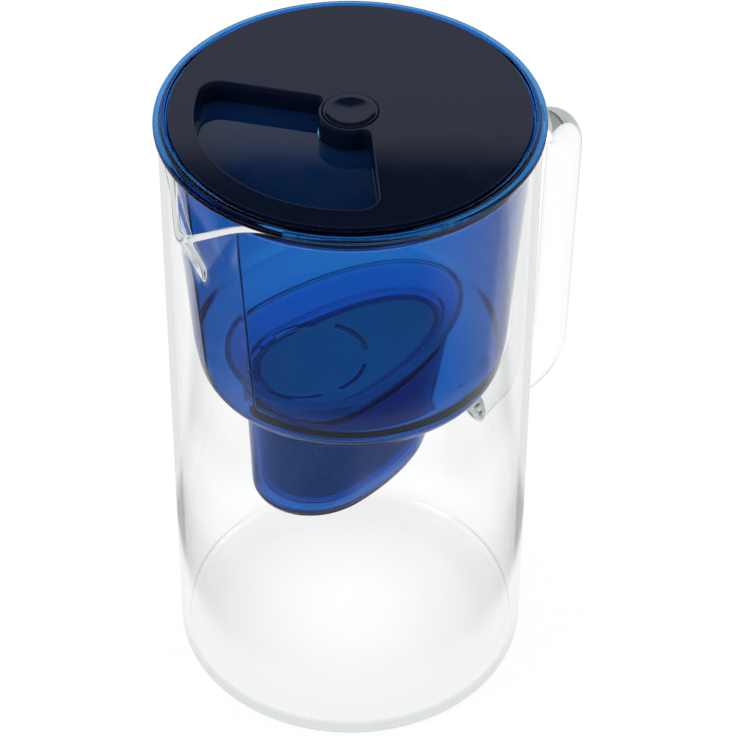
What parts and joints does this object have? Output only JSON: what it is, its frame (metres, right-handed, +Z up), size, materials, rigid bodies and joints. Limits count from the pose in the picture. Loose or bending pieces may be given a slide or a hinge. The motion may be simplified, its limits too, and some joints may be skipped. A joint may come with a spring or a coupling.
{
  "type": "water filter pitcher with flip lid",
  "caption": "Glass pitcher with a pouring lip and rod handle, a lift-out hopper with a filter cartridge, and a lid whose fill flap opens at a push of its button.",
  "frame": {"origin": "middle of the jug's base, on the surface it stands on", "axes": "+Z up along the jug's axis, -X toward the pouring lip, +X toward the handle"},
  "size_m": [0.1838, 0.133, 0.2426],
  "materials": {
    "jug_glass": "clear, fire polished",
    "hopper_plastic": "translucent blue, polished mould",
    "cartridge_plastic": "blue, fine mould finish",
    "lid_plastic": "opaque near-black navy, polished",
    "flap_plastic": "dark translucent navy, polished",
    "seal_rubber": "soft moulded silicone",
    "inlet_felt": "needled fibre pad",
    "filter_media": "packed resin beads and carbon grains",
    "screen_mesh": "woven plastic mesh",
    "steel": "drawn stainless wire"
  },
  "bodies": {
    "jug": {"glass_body": "jug_glass", "glass_handle": "jug_glass"},
    "hopper_unit": {"hopper": "hopper_plastic"},
    "cartridge": {"cartridge_shell": "cartridge_plastic", "cartridge_cap": "cartridge_plastic", "cartridge_seal": "seal_rubber", "inlet_pad": "inlet_felt", "filter_filling": "filter_media", "outlet_screen": "screen_mesh"},
    "lid": {"lid_cover": "lid_plastic", "flap_hinge_pin": "steel", "button_spring": "steel"},
    "button": {"push_button": "lid_plastic"},
    "flap": {"fill_flap": "flap_plastic"}
  },
  "joints": [
    {"name": "hopper_lift", "type": "slide", "parent": "jug", "child": "hopper_unit", "axis": [0, 0, 1], "range_m": [0, 0.16]},
    {"name": "cartridge_lift", "type": "slide", "parent": "hopper_unit", "child": "cartridge", "axis": [0, 0, 1], "range_m": [0, 0.03]},
    {"name": "lid_lift", "type": "slide", "parent": "hopper_unit", "child": "lid", "axis": [0, 0, 1], "range_m": [0, 0.05]},
    {"name": "button_push", "type": "slide", "parent": "lid", "child": "button", "axis": [0, 0, -1], "range_m": [0, 0.004], "stiffness_N_per_m": 120, "springref_m": -0.006, "deforming": ["button_spring"]},
    {"name": "flap_swing", "type": "hinge", "parent": "lid", "child": "flap", "pos_m": [0.008, 0, 0.226], "axis": [0, -1, 0], "range_deg": [0, 30]}
  ],
  "couplings": [
    {"joint": "flap_swing", "follows": "button_push", "rad_per_m": 130.9}
  ]
}
